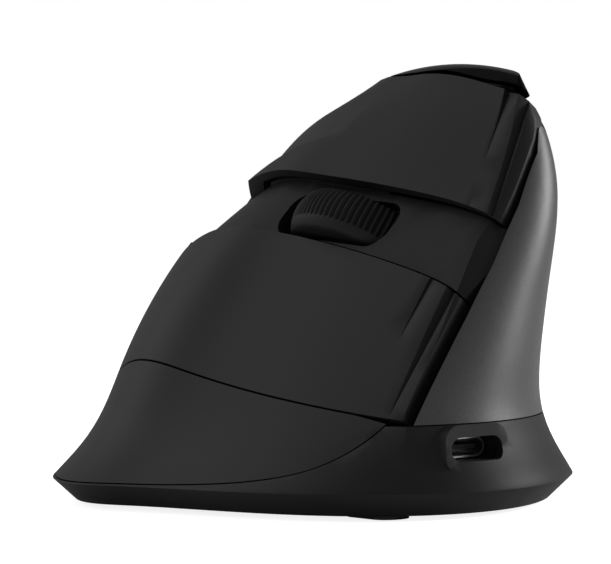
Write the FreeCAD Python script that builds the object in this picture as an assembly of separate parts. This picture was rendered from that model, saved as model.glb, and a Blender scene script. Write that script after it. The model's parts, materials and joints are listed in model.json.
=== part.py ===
# Vertical ergonomic mouse for the right hand, in millimetres.
# The nose with the charging port looks along -Y, the palm end along +Y,
# the thumb side lies at +X and the sloping finger side at -X.
# +Z is up, and the origin lies on the floor under the middle of the body.
import FreeCAD, Part
import math
import os

Vector = FreeCAD.Vector
os.makedirs("parts", exist_ok=True)

# Body outline, one row per height. Each row goes round from the nose corner: corner, finger front,
# finger middle, palm, tail, back of the thumb side, its middle, its front and the nose.
body_rows = [
    (0.8, [
        (-14.5, -47.5), (-25, -29), (-31.5, 0), (-33, 16), (-1, 50),
        (25, 38), (34, 5), (30, -26), (7.5, -50),
    ]),
    (4.3, [
        (-15, -50), (-27.5, -30), (-35, 0), (-37, 16), (-1, 54),
        (27.5, 40), (37.5, 5), (33.5, -27), (9.5, -53.5),
    ]),
    (9.0, [
        (-14, -49), (-23.7, -28), (-29.8, 0), (-31, 16), (0, 51.5),
        (25, 38.5), (33.5, 6), (31, -25), (10, -50.7),
    ]),
    (14.5, [
        (-13, -47.6), (-19.8, -25.5), (-25.3, 0), (-26.3, 16), (1, 49),
        (22.7, 37), (30.4, 7), (28.6, -24), (10, -48.6),
    ]),
    (22.0, [
        (-9, -46.8), (-15, -24), (-20.5, 0), (-22, 16), (3, 47.5),
        (20.7, 36), (26.7, 7.5), (26.6, -24), (11.3, -48),
    ]),
    (32.0, [
        (-2.8, -45.8), (-8.8, -22), (-13.9, 0), (-16, 15.5), (5.8, 44),
        (20.2, 33), (24.2, 7), (26.4, -24), (14.3, -47.3),
    ]),
    (42.0, [
        (3.8, -44.6), (-2.2, -20.5), (-6.8, -0.6), (-8.7, 14), (9.3, 38.6),
        (20.7, 28), (24.7, 5), (26.6, -22.6), (18.2, -46),
    ]),
    (52.0, [
        (10.8, -43), (5, -20.5), (0.7, -2), (-0.1, 10.6), (13.5, 30.4),
        (21.4, 20), (25.4, 1), (27, -21.6), (20.8, -43.8),
    ]),
    (60.0, [
        (15.8, -41), (10.8, -21), (7.2, -4.5), (7.1, 5.6), (16.7, 20),
        (22.2, 11.7), (24.8, -4), (25.6, -21.6), (21.2, -40.6),
    ]),
    (68.0, [
        (19, -37), (16.2, -21), (14.8, -9), (16.2, -3.2), (20, 3),
        (22.3, -0.2), (23, -9), (23.3, -22.6), (20.6, -35.6),
    ]),
    (73.0, [
        (20, -34), (18.2, -21), (17.4, -11), (18.2, -7), (20.5, -3),
        (22, -6), (22.5, -12), (22.8, -22.6), (21.3, -33),
    ]),
]
underside_height = 0.8          # base plate above the floor, which is the thickness of the feet
far = 80.0                      # further out than any point of the body

# Roof: a crowned arc along the ridge
ridge_height = 70.8
ridge_peak_y = -17.0
ridge_radius = 81.0
crown_radius = 7.0
crown_x = 20.4
crown_side_angle = 42.0         # degrees that the roof falls away beside its crown
shoulder_drop = 9.5             # the roof ends this far under the ridge, and the sides take over

# Walls and gaps
wall = 2.0                      # outer shells
strip_edge_depth = 0.45         # the wheel strip starts this far under the lower button's edge
strip_slope = 10.5              # degrees that it falls away from there, under the upper button
strip_hinge_t = 1.0             # where on the finger face its slope begins
strip_nose_gap = 0.15           # between the strip's nose end and the thumb cover
frame_depth = 2.9               # outer face of the frame under the buttons
frame_lip_depth = 2.2           # outer face of the frame's rim under the neighbouring shells
frame_inner_depth = 4.3
frame_rim = 0.6                 # the frame lies deeper this far round each button
floor_wall = 2.0
floor_top = underside_height + floor_wall
post_root = 0.5                 # how deep a post is rooted in the floor
seam_gap = 0.2                  # between shells that stay put
press_gap = 0.35                # round a piece that is pressed
ridge_gap = 0.75                # between the upper button and the thumb cover, where it moves sideways
base_seam_height = 14.5         # top of the base
rear_seam_height = 24.0         # between the palm shell and the side shelf

# Finger face: its lean from the floor, its toe-in and its middle
face_lean = 54.9
face_toe = 12.4
face_point = (-6.4, -0.6, 42.0)

# Places on the finger face: s runs to the tail, t up the slope, both from the face's middle
groove_line = [
    (-43.4, 27.6), (-45.6, 25.2), (-47.5, 19.0), (-48.2, 9.0),
    (-48.0, -2.0), (-47.2, -12.0), (-45.1, -32.4),
]
upper_lip = [(-46.9, 5.0), (-47.0, 12.0), (-46.4, 21.0)]
upper_corner = [(-46.4, 21.0), (-44.8, 25.4), (-42.9, 28.0)]
upper_top = [(-42.9, 28.0), (-35.3, 30.2), (-23.4, 32.8), (-16.5, 33.4), (-10.0, 34.9), (-3.0, 39.0)]
upper_bottom = [(26.5, 17.0), (11.0, 15.7), (-8.0, 13.4), (-24.8, 10.7), (-40.8, 7.2), (-46.9, 5.0)]
lower_top = [
    (-45.8, -9.4), (-43.2, -8.0), (-36.0, -5.4), (-17.3, -0.6), (-2.5, 2.3), (7.4, 3.3), (31.5, 4.4),
]
lower_bottom = [(35.0, -19.0), (13.8, -22.4), (-10.3, -27.3), (-33.1, -30.5), (-43.4, -31.2)]
cap_edge = [
    (-50.0, 21.5), (-46.6, 25.6), (-43.4, 28.75), (-35.5, 30.95),
    (-23.5, 33.55), (-16.4, 34.15), (-9.7, 35.6), (-2.4, 39.5),
]
button_rear = [(14.0, 39.0), (20.0, 28.0), (26.5, 17.0), (31.5, 4.4), (34.5, -8.0), (35.0, -19.0)]
# Creases near the nose: upper end, lower end, depth there and degrees that the front turns down
upper_creases = [((-38.9, 27.6), (-40.4, 8.0), 0.45, 12.0), ((-43.0, 27.4), (-45.3, 5.3), 1.4, 33.0)]
lower_creases = [((-38.7, -6.3), (-36.3, -23.8), 0.75, 12.0), ((-43.4, -8.4), (-40.9, -28.9), 1.7, 33.0)]
bottom_gap_front = 1.2               # gap under the lower button at the nose

# How deep the buttons wrap round the ridge, the palm and the nose, as (s, depth)
upper_reach = [
    (-60, 4.2), (-40, 4.2), (-30, 6.2), (-20, 7.8), (-10, 9.0),
    (0, 10.8), (10, 15.5), (20, 19.5), (40, 31.5),
]
lower_reach = [(-60, 4.2), (-20, 4.2), (0, 6.5), (10, 11.5), (20, 17.5), (30, 23.5), (50, 39.0)]
frame_reach = [
    (-60, 7.0), (-40, 7.5), (-30, 8.5), (-20, 10.0), (-10, 11.5),
    (0, 13.0), (10, 17.0), (20, 21.0), (40, 33.0),
]
frame_outline = [
    (-45.6, -33.0), (-46.0, 30.0), (-44.0, 36.0), (-15.0, 40.0), (14.0, 40.0),
    (32.0, 20.0), (40.0, -10.0), (40.0, -22.0), (14.0, -26.0), (-20.0, -32.0),
]
lip_clearance = 0.9                  # room under the edges of a pressed button
face_span = 60.0                     # further than the finger face reaches along t
front_zone = -38.0                   # the frame is open under the lower button in front of this line
upper_front_zone = -20.0             # and under the upper button in front of this one
front_thickness = 3.8                # buttons' wall in front of it
thick_overlap = 0.6                  # the thicker wall ends this much further to the nose

# Scroll wheel
wheel_s = -13.0
wheel_t = 5.6
wheel_tilt = 7.4                # degrees that the rolling line falls to the nose
wheel_radius = 13.5
wheel_width = 7.4
wheel_depth = 9.7               # axle under the buttons' surface
wheel_slot_length = 25.3
wheel_slot_width = 9.4
wheel_slot_corner = 3.6
wheel_crown = 1.1               # the tyre's edge lies this much under its middle
hub_radius = 10.6
hub_rim = 1.6
hub_boss_radius = 3.4
hub_dish = 1.2
axle_radius = 1.25
running_gap = 0.05
wheel_click_travel = 0.5

# Cradle of the wheel
cradle_front = 18.8
cradle_back = 18.6
cradle_half_width = 6.6
cradle_side_gap = 0.6
cradle_depth_half = 2.0
cradle_well_gap = 0.7           # round the tyre at its front and back
cradle_end_wall = 0.3           # left at the axle's blind end
axle_end_play = 0.1
stub_end_play = 0.2             # at the axle's end in the encoder
guide_x = 16.2                  # guide pins in front of and behind the axle
guide_radius = 1.0
guide_front_end = 1.6
embed_extra = 0.4               # posts and pins start this much under the frame's outer face
slot_outside = 15.0             # the slot is cut from here above the axle
slot_inside = 13.0              # to here below it
encoder_length = 10.0
encoder_thickness = 4.5
encoder_low = -3.8
encoder_high = 2.7
axle_stub = 3.2                 # how far the axle reaches into the encoder
spring_outer_radius = 1.9
spring_inner_radius = 1.3
click_switch_side = 4.4

# Boards and switches under the finger face
board_depth = 13.0
guide_back_end = board_depth - wheel_depth - 0.2
board_posts = [(-41.0, 1.5), (-23.5, -17.6), (8.0, -17.6), (8.0, 8.6)]
button_board_outline = [
    (-43.0, -20.0), (-43.0, 8.0), (-41.3, 14.0), (-38.9, 16.9), (-26.8, 16.9),
    (-26.8, -1.8), (0.9, -1.8), (0.9, 11.5), (10.4, 11.5), (10.4, -20.0),
]
button_board_shank = 5.0
board_thickness = 1.2
switch_length = 12.8
switch_width = 5.8
switch_height = 6.5
plunger_rise = 0.9
plunger_length = 2.9
plunger_width = 1.3
plunger_pocket = 2.4            # depth of its pocket in the switch
plunger_foot = 1.5              # how far it stands in the pocket
switch_s = -34.0
upper_switch_t = 13.6
lower_switch_t = -13.0
plunger_shift = -2.6            # plunger towards the nose from the switch's middle
button_post_radius = 1.6
button_post_root = 0.8          # its upper end, inside the button's wall
button_post_gap = 0.5           # round it where it passes the frame
plunger_top = board_depth - switch_height - plunger_rise

# Charging port
port_x = -3.5
port_height = 10.7
port_mouth_width = 9.8
port_mouth_height = 3.7
port_boss_width = 12.0
port_boss_height = 7.5
port_boss_corner = 2.6
port_boss_depth = 4.2
port_collar_start = 1.5         # the sleeve round the mouth, behind the boss's face
port_collar_end = 5.2
port_mouth_run = 8.5            # how far the mouth's hole goes on inside
port_boss_face = 52.7           # distance in front of the origin
receptacle_width = 8.94
receptacle_height = 3.2
receptacle_length = 7.4
receptacle_setback = 4.0        # from the boss's face to the receptacle
receptacle_wall = 0.3
receptacle_back = 0.8           # its back wall
tongue_width = 6.6
tongue_thickness = 0.7
tongue_setback = 0.9            # from the receptacle's front edge

# Main board, battery and sensor
main_board_thickness = 1.2
main_board_outline = [(-8.5, -46.6), (9, -46.6), (17, -40), (17, 9), (-8.5, 9)]
main_board_posts = [(-6.3, -34), (14.8, -34), (-6.3, 6.8), (14.8, 6.8)]
board_post_radius = 2.0
board_screw_radius = 0.8
board_screw_head_radius = 1.6
board_screw_head_height = 1.1
board_screw_hole_gap = 0.2      # round the screw in the board
board_screw_hole = 5.0          # depth of its hole in the frame's posts
main_board_shank = 3.4          # below the board
board_top = port_height - receptacle_height / 2
board_bottom = board_top - main_board_thickness
# Chips: corner x, corner y, length, width, height
chip_boxes = [(-5, -26, 5, 5, 0.9), (5, -12, 4, 4, 0.8), (2, -2, 8, 2.5, 1.0)]
battery_width = 28.0
battery_length = 26.0
battery_height = 6.0
battery_front = 13.2
battery_x = -0.5
battery_corner = 1.2
sensor_y = -6.0
lens_width = 12.0
lens_length = 16.0
lens_thickness = 2.0
lens_window_gap = 0.4           # round the lens in the base's window
lens_window_start = 1.6         # its face above the floor
sensor_window_radius = 4.2
sensor_width = 10.0
sensor_length = 13.0

# Thumb side
thumb_button_height = 5.2
thumb_button_length = 15.6
thumb_button_gap = 1.0
thumb_button_y = -6.5           # middle of the pair
thumb_button_z = 48.4
thumb_button_rise = 1.1
thumb_travel = 0.5
thumb_button_corner = 2.0
thumb_rim = 0.9                 # the buttons' rims behind the cover
thumb_rim_start = 0.15          # the rims lie between these two depths under the cover's wall
thumb_rim_end = 0.9
thumb_rim_share = 0.1           # half of the gap between the two rims
thumb_stem_radius = 1.1
thumb_cut_start = 15.0          # the thumb openings reach from here outwards
thumb_board_x = 18.0
thumb_board_thickness = 1.2
thumb_board_low = 41.0
thumb_board_high = 51.1
thumb_board_front = -19.4
thumb_board_back = 8.4
thumb_boss_radius = 1.5
thumb_boss_z = 43.0
thumb_switch_height = 1.9
thumb_switch_side = 4.2
silver_edge_x = 22.4            # the silver cover's top edge along the ridge
silver_tail_x = 14.0            # where that edge ends at the tail
cap_front_height = 61.4
cap_start_x = 8.0
cap_back_y = 2.0

# Seams of the shells: seen from above (x, y) and from the side (y, z)
divider = [(silver_edge_x, -60), (silver_edge_x, -2), (20.5, 22), (silver_tail_x, 62)]
shelf_curve = [(-43.8, 14.6), (-41, 11.6), (-36, 8.3), (-29, 6.4), (-17, 5.2), (-4, 4.7), (10, 4.6)]
shelf_inner_x = -5.0            # the shelf stays on the finger side of this line, up to the tail
palm_start = 6.0                # the palm shell takes what the buttons leave behind this line
seam_half = seam_gap / 2

# Underside
foot_thickness = underside_height
foot_length = 12.0
foot_width = 6.0
foot_places = [(-12.5, -38.8), (15, -35), (-22, 23), (14.5, 34.5)]
mode_x = 11.0
mode_y = -6.0
mode_radius = 2.5
mode_gap = 0.15
mode_travel = 0.4
mode_switch_height = 2.3
mode_switch_side = 4.2
mode_flange = 0.9               # wider than the button, inside the floor
mode_flange_thickness = 0.7
mode_recess = 0.2               # above the underside
switch_play = 0.1               # room between a button's stem and its switch
power_x = 8.5
power_y = -22.0
power_travel = 2.5
power_knob_length = 4.6
power_knob_width = 3.0
power_knob_corner = 0.7
power_knob_bottom = 1.0         # above the floor
power_gap = 0.2                 # round the knob in its window
power_stop_gap = 0.4            # left at the ends of its travel
power_window_corner = 0.8
power_play = 0.15               # over and under the slider's flange
power_flange_thickness = 0.6
power_flange_half = 2.4
power_flange_margin = 1.2       # beyond the window at both ends
power_case_half = 4.0
power_case_half_width = 2.2
body_posts = [(-13, -30), (-16, 9.6), (21, -24), (19.5, 22)]     # two for the frame, two for the thumb cover
body_post_radius = 2.75
body_post_start = 8.1
screw_shank_radius = 0.85
screw_clear_radius = 1.0        # through the base
screw_head_radius = 2.0
screw_head_gap = 0.2
screw_head_height = 1.6
screw_seat_height = 3.0
screw_length = 10.0
screw_hole_end = 0.5            # room under the screw's end
cover_post_top = 27.0
cover_web_thickness = 1.8
cover_web_reach = 12.0          # from a post out to the cover's wall
cover_web_start = 0.6           # above the base's top edge
cover_embed = 1.0               # depth in the wall where posts are rooted


# Helpers

def closed_wire(*runs):
    """Joins runs of points end to end: two points make a line, more make a smooth curve."""
    edges = []
    for run in runs:
        points = [Vector(*p) for p in run]
        if len(points) == 2:
            edges.append(Part.LineSegment(points[0], points[1]).toShape())
        else:
            curve = Part.BSplineCurve()
            curve.interpolate(points)
            edges.append(curve.toShape())
    return Part.Wire(edges)


def plate(wire, start, height):
    """A flat wire in the plane z = 0, raised to start and given a height."""
    face = Part.Face(wire)
    face.translate(Vector(0, 0, start))
    return face.extrude(Vector(0, 0, height))


def flat_points(points):
    return [(a, b, 0) for a, b in points]


def polygon(points):
    corners = [Vector(a, b, 0) for a, b in points]
    return Part.makePolygon(corners + [corners[0]])


def rounded_rectangle(length, width, corner, middle=(0, 0)):
    """A wire in the plane z = 0 with four round corners."""
    a = length / 2 - corner
    b = width / 2 - corner
    x, y = middle
    edges = []
    for index in range(4):
        sx = (1, -1, -1, 1)[index]
        sy = (1, 1, -1, -1)[index]
        centre = Vector(x + sx * a, y + sy * b, 0)
        start = math.radians(90 * index)
        arc = Part.Arc(
            Part.Circle(centre, Vector(0, 0, 1), corner), start, start + math.pi / 2
        )
        edges.append(arc.toShape())
    joined = []
    for index in range(4):
        joined.append(edges[index])
        end = edges[index].Vertexes[-1].Point
        begin = edges[(index + 1) % 4].Vertexes[0].Point
        if end.distanceToPoint(begin) > 1e-6:
            joined.append(Part.LineSegment(end, begin).toShape())
    return Part.Wire(joined)


def stadium(length, height, middle):
    """A wire in the plane z = 0 whose ends are round."""
    return rounded_rectangle(length, height, height / 2 - 0.01, middle)


def cylinder(radius, start, end):
    """A round bar between two points."""
    along = Vector(*end) - Vector(*start)
    return Part.makeCylinder(radius, along.Length, Vector(*start), along)


def box(low, high):
    size = [h - l for l, h in zip(low, high)]
    return Part.makeBox(*size, Vector(*low))


# Local frames: x along s, y along t and z into the body

lean = math.radians(face_lean)
toe = math.radians(face_toe)
face_normal = Vector(-math.sin(lean) * math.cos(toe), -math.sin(lean) * math.sin(toe), math.cos(lean))
face_s = Vector(-math.sin(toe), math.cos(toe), 0)
face_t = face_s.cross(face_normal)


def frame_matrix(origin, x_axis, y_axis):
    z_axis = x_axis.cross(y_axis)
    return FreeCAD.Matrix(
        x_axis.x, y_axis.x, z_axis.x, origin.x,
        x_axis.y, y_axis.y, z_axis.y, origin.y,
        x_axis.z, y_axis.z, z_axis.z, origin.z,
        0, 0, 0, 1,
    )


face_matrix = frame_matrix(Vector(*face_point), face_s, face_t)


def on_face(shape):
    """Moves a shape from the finger face's own frame into the body."""
    placed = shape.copy()
    placed.transformShape(face_matrix, True)
    return placed


tilt = math.radians(wheel_tilt)
wheel_x = face_s * math.cos(tilt) + face_t * math.sin(tilt)
wheel_y = face_t * math.cos(tilt) - face_s * math.sin(tilt)
wheel_centre = (
    Vector(*face_point)
    + face_s * wheel_s
    + face_t * wheel_t
    - face_normal * wheel_depth
)
wheel_matrix = frame_matrix(wheel_centre, wheel_x, wheel_y)


def at_wheel(shape):
    """Moves a shape from the wheel's frame, centred on its axle, into the body."""
    placed = shape.copy()
    placed.transformShape(wheel_matrix, True)
    return placed


# Body

finger_slope_share = 1.22       # a level inset that gives a wall of 1 on the leaning side
corner_share = 1.35
plain_share = 1.03
spine_share = 0.75              # the part of an outline's length that its middle line runs
thin_share = 0.8                # no inset goes further than this share of the way to that line
skirt_inset = 0.6               # extra at the foot, where the outside flares out
inset_shares = [corner_share] + [finger_slope_share] * 3 + [plain_share] * 5


def outline_points(points, inset):
    """The outline's points drawn in towards its middle line, less where the body is thin."""
    middle_x = sum(p[0] for p in points) / len(points)
    middle_y = sum(p[1] for p in points) / len(points)
    half_length = (max(p[1] for p in points) - min(p[1] for p in points)) / 2
    moved = []
    for (x, y), share in zip(points, inset_shares):
        spine_y = min(max(y, middle_y - spine_share * half_length), middle_y + spine_share * half_length)
        reach = math.hypot(x - middle_x, y - spine_y)
        wanted = inset * share
        step = wanted / (1 + (wanted / (thin_share * reach)) ** 3) ** (1 / 3)
        moved.append((x + (middle_x - x) / reach * step, y + (spine_y - y) / reach * step))
    return moved


def outline_wire(height, points, inset):
    """A closed curve through an outline's points, in step with the square roots of their distances."""
    ring = [Vector(x, y, height) for x, y in outline_points(points, inset)]
    ring.append(ring[0])
    steps = [0.0]
    for start, end in zip(ring, ring[1:]):
        steps.append(steps[-1] + math.sqrt(start.distanceToPoint(end)))
    curve = Part.BSplineCurve()
    curve.interpolate(Points=ring, Parameters=[step / steps[-1] for step in steps])
    return Part.Wire([curve.toShape()])


def roof(inset):
    """Everything under the crowned ridge."""
    radius = ridge_radius - inset
    crown = crown_radius - inset
    angle = math.radians(crown_side_angle)
    reach = 60.0
    centre_z = ridge_height - ridge_radius
    crown_z = centre_z + radius - crown
    left = Vector(crown_x - crown * math.sin(angle), 0, crown_z + crown * math.cos(angle))
    right = Vector(crown_x + crown * math.sin(angle), 0, left.z)
    top = Vector(crown_x, 0, crown_z + crown)
    fall = left.z - (top.z - shoulder_drop)
    shoulder_left = left + Vector(-fall / math.tan(angle), 0, -fall)
    shoulder_right = right + Vector(fall / math.tan(angle), 0, -fall)
    far_left = shoulder_left + Vector(-reach, 0, 0)
    far_right = shoulder_right + Vector(reach, 0, 0)
    wire = Part.Wire([
        Part.LineSegment(far_left, shoulder_left).toShape(),
        Part.LineSegment(shoulder_left, left).toShape(),
        Part.Arc(left, top, right).toShape(),
        Part.LineSegment(right, shoulder_right).toShape(),
        Part.LineSegment(shoulder_right, far_right).toShape(),
        Part.LineSegment(far_right, Vector(far_right.x, 0, centre_z)).toShape(),
        Part.LineSegment(Vector(far_right.x, 0, centre_z), Vector(far_left.x, 0, centre_z)).toShape(),
        Part.LineSegment(Vector(far_left.x, 0, centre_z), far_left).toShape(),
    ])
    face = Part.Face(wire)
    face.translate(Vector(0, ridge_peak_y, 0))
    return face.revolve(Vector(0, ridge_peak_y, centre_z), Vector(1, 0, 0), 360)


def loft(rows, inset):
    return Part.makeLoft([outline_wire(z, p, inset) for z, p in rows], True, False)


def outer_body():
    tower = loft(body_rows[1:], 0)
    skirt = Part.makeLoft([outline_wire(z, p, 0) for z, p in body_rows[:2]], True, True)
    return tower.common(roof(0)).fuse(skirt)


def inner_body(inset):
    """The body's volume under a skin of the given depth, above the base plate."""
    rows = [(floor_top, body_rows[0][1])] + body_rows[2:]
    wires = [outline_wire(floor_top, rows[0][1], inset + skirt_inset)]
    wires += [outline_wire(z, p, inset) for z, p in rows[1:]]
    return Part.makeLoft(wires, True, False).common(roof(inset))


def column(outline, low, high):
    """An upright prism over an outline seen from above."""
    return plate(polygon(outline), low, high - low)


def level_slice(low, high):
    """All the space between two heights."""
    return box((-far, -far, low), (far, far, high))


def finger_half(edge_x):
    """All the space on the finger side of a line along the ridge."""
    return box((-far, -far, 0), (edge_x, far, far))


def face_prism(wire, inside, outside=15.0):
    """A prism through the finger face, from outside it down to a depth inside the body."""
    return on_face(plate(wire, -outside, outside + inside).toNurbs())


def finger_zone(wire, reach, gap):
    """A prism through the finger face, limited in depth by a line drawn in (s, depth)."""
    start = (reach[0][0], -20.0)
    end = (reach[-1][0], -20.0)
    profile = Part.makePolygon([
        Vector(a, -face_span, d) for a, d in [start] + [(a, d + gap) for a, d in reach] + [end, start]
    ])
    room = Part.Face(profile).extrude(Vector(0, 2 * face_span, 0))
    return face_prism(wire, face_span).common(on_face(room))


def grown(wire, gap):
    """The outline of a flat wire moved outwards."""
    return Part.Face(wire).makeOffset2D(gap).OuterWire


def along_x(wire, start, end):
    """A wire drawn in (y, z) as a prism along the X axis."""
    matrix = frame_matrix(Vector(0, 0, 0), Vector(0, 1, 0), Vector(0, 0, 1))
    solid = plate(wire, start, end - start)
    solid.transformShape(matrix, True)
    return solid


def along_y(wire, start, end):
    """A wire drawn in (x, z) as a prism along the Y axis."""
    matrix = frame_matrix(Vector(0, 0, 0), Vector(1, 0, 0), Vector(0, 0, 1))
    solid = plate(wire, -end, end - start)
    solid.transformShape(matrix, True)
    return solid


nodes = {}


def keep(name, *solids):
    """Files a piece under its name."""
    parts = [part for solid in solids for part in solid.Solids]
    nodes[name] = parts[0] if len(parts) == 1 else Part.Compound(parts)


# The body's skin and the room under it

body = outer_body()
inner_wall = inner_body(wall)
strip_shell = inner_body(strip_edge_depth)
inner_lip = inner_body(frame_lip_depth)
inner_frame = inner_body(frame_depth)
inner_room = inner_body(frame_inner_depth)
skin = body.cut(inner_wall)

# Zones on the finger face

upper_wire = closed_wire(
    flat_points(upper_lip), flat_points(upper_corner), flat_points(upper_top),
    flat_points([upper_top[-1], button_rear[0]]), flat_points(button_rear[:3]), flat_points(upper_bottom),
)
lower_wire = closed_wire(
    flat_points(lower_top), flat_points(button_rear[3:]), flat_points(lower_bottom),
    flat_points([lower_bottom[-1], lower_top[0]]),
)
strip_wire = closed_wire(
    flat_points(upper_bottom),
    flat_points([upper_bottom[-1], groove_line[3]]),
    flat_points([groove_line[3], groove_line[4]]),
    flat_points([groove_line[4], lower_top[0]]),
    flat_points(lower_top),
    flat_points([lower_top[-1], upper_bottom[0]]),
)
under_cap = closed_wire(
    flat_points(cap_edge),
    flat_points([cap_edge[-1], (far, cap_edge[-1][1])]),
    flat_points([(far, cap_edge[-1][1]), (far, -far)]),
    flat_points([(far, -far), (-far, -far)]),
    flat_points([(-far, -far), (-far, cap_edge[0][1])]),
    flat_points([(-far, cap_edge[0][1]), cap_edge[0]]),
)
bottom_gap_line = [(lower_bottom[-1][0], lower_bottom[-1][1] - bottom_gap_front)]
groove_wire = polygon(groove_line + bottom_gap_line + [lower_bottom[2], (-40.0, -4.0), (-40.0, 22.0)])
upper_hole = finger_zone(grown(upper_wire, press_gap), upper_reach, lip_clearance)
upper_hole = upper_hole.common(finger_half(silver_edge_x))
lower_hole = finger_zone(grown(lower_wire, press_gap), lower_reach, lip_clearance)
strip_hole = finger_zone(strip_wire, lower_reach, lip_clearance)
groove_hole = finger_zone(groove_wire, lower_reach, lip_clearance)


def without_finger_openings(shape):
    return shape.cut(upper_hole).cut(lower_hole).cut(strip_hole).cut(groove_hole)


# Outer shells


def shelf_zone(gap):
    """The side shelf's space, above its seam with the base."""
    curve = [(y + (gap if y < -40 else 0), z + gap, 0) for y, z in shelf_curve]
    top = rear_seam_height - gap
    bottom = curve[-1][1]
    wire = closed_wire(
        curve,
        [curve[-1], (far, bottom, 0)],
        [(far, bottom, 0), (far, top, 0)],
        [(far, top, 0), (curve[0][0], top, 0)],
        [(curve[0][0], top, 0), curve[0]],
    )
    edge = [(x - gap, y) for x, y in divider[2:]]
    finger_side = [(-far, -far), (shelf_inner_x, -far), (shelf_inner_x, edge[0][1])]
    left_of_divider = column(finger_side + edge + [(edge[-1][0], far), (-far, far)], 0, far)
    return along_x(wire, -far, far).common(left_of_divider)


def palm_zone(gap):
    """The palm shell's space, behind the buttons."""
    edge = [(x - gap, y) for x, y in divider]
    outline = [(-far, -far), (edge[0][0], -far)] + edge + [(edge[-1][0], far), (-far, far)]
    left_of_divider = column(outline, rear_seam_height + gap, far)
    rear = polygon([(palm_start, -far), (far, -far), (far, far), (palm_start, far)])
    return face_prism(rear, far, far / 2).common(left_of_divider)


def cap_block(gap):
    """The end of the ridge over the nose, along the thumb side's edge."""
    return box((cap_start_x, -far, cap_front_height + gap), (silver_edge_x - gap, cap_back_y, far))


def make_shells():
    shelf = without_finger_openings(skin.common(shelf_zone(seam_half)))
    keep("side_shelf", largest(shelf))
    palm = without_finger_openings(skin.common(palm_zone(seam_half)))
    keep("palm_shell", largest(palm))
    cap = skin.common(cap_block(seam_half)).cut(face_prism(under_cap, far / 2, far / 2))
    keep("ridge_cap", largest(cap))
    upright = level_slice(base_seam_height + seam_half, far)
    cover = skin.common(upright).cut(shelf_zone(-seam_half)).cut(palm_zone(-seam_half))
    return largest(without_finger_openings(cover.cut(cap_block(-seam_half))))


def largest(shape):
    """The biggest solid of a cut, without the slivers beside it."""
    return max(shape.Solids, key=lambda solid: solid.Volume)


def make_base():
    """Base shell with its floor, bosses, port and windows."""
    shell = body.common(level_slice(0, base_seam_height - seam_half))
    boss = along_y(
        rounded_rectangle(port_boss_width, port_boss_height, port_boss_corner, (port_x, port_height)),
        -port_boss_face, -port_boss_face + port_boss_depth,
    )
    shell = shell.fuse(boss).cut(inner_wall)
    shell = largest(shell.cut(shelf_zone(-seam_half)).cut(lower_hole))
    collar = along_y(
        rounded_rectangle(port_boss_width, port_boss_height, port_boss_corner, (port_x, port_height)),
        -port_boss_face + port_collar_start, -port_boss_face + port_collar_end,
    )
    shell = shell.fuse(collar)
    mouth = along_y(
        stadium(port_mouth_width, port_mouth_height, (port_x, port_height)),
        -far, -port_boss_face + port_boss_depth + port_mouth_run,
    )
    shell = shell.cut(mouth)
    for x, y in body_posts:
        shell = shell.fuse(cylinder(body_post_radius, (x, y, floor_top - post_root), (x, y, body_post_start)))
        shell = shell.cut(cylinder(screw_head_radius + screw_head_gap, (x, y, 0), (x, y, screw_seat_height)))
        shell = shell.cut(cylinder(screw_clear_radius, (x, y, 0), (x, y, body_post_start + 1)))
    for x, y in main_board_posts:
        shell = shell.fuse(cylinder(board_post_radius, (x, y, floor_top - post_root), (x, y, board_bottom)))
        shell = shell.cut(cylinder(board_screw_radius, (x, y, floor_top), (x, y, board_bottom + 1)))
    shell = shell.cut(cylinder(sensor_window_radius, (0, sensor_y, 0), (0, sensor_y, floor_top + 1)))
    window = rounded_rectangle(
        power_knob_length + power_travel + 2 * power_gap + power_stop_gap, power_knob_width + 2 * power_gap,
        power_window_corner, (power_x + power_travel / 2, power_y),
    )
    shell = shell.cut(plate(window, 0, floor_top + 1))
    mode_hole = cylinder(mode_radius + mode_gap, (mode_x, mode_y, 0), (mode_x, mode_y, floor_top + 1))
    keep("base_shell", shell.cut(mode_hole))


def screw_hole(x, y):
    """The hole for a base screw in the posts above the base."""
    return cylinder(screw_shank_radius, (x, y, 0), (x, y, screw_seat_height + screw_length + screw_hole_end))


def finish_cover(cover):
    """Posts, thumb openings and board bosses of the silver thumb cover."""
    embed = inner_body(cover_embed)
    for x, y in body_posts[2:]:
        bar = cylinder(body_post_radius, (x, y, body_post_start), (x, y, cover_post_top))
        half = cover_web_thickness / 2
        web_low = base_seam_height + cover_web_start
        web = box((x - half, y - half, web_low), (x + cover_web_reach, y + half, cover_post_top))
        cover = cover.fuse(bar.fuse(web).common(embed)).cut(screw_hole(x, y))
    board_face = thumb_board_x + thumb_board_thickness
    for y in thumb_centres():
        boss = cylinder(thumb_boss_radius, (board_face, y, thumb_boss_z), (far, y, thumb_boss_z))
        cover = cover.fuse(boss.common(embed))
    for wire in thumb_outlines(press_gap):
        cover = cover.cut(along_x(wire, thumb_cut_start, far))
    keep("thumb_cover", largest(cover))


# Thumb buttons

def thumb_centres():
    shift = (thumb_button_length + thumb_button_gap) / 2
    return [thumb_button_y - shift, thumb_button_y + shift]


def thumb_outlines(gap):
    """Outlines in (y, z) of the forward and back buttons, grown by a gap."""
    length = thumb_button_length + 2 * gap
    height = thumb_button_height + 2 * gap
    corner = thumb_button_corner + gap
    return [rounded_rectangle(length, height, corner, (y, thumb_button_z)) for y in thumb_centres()]


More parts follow.
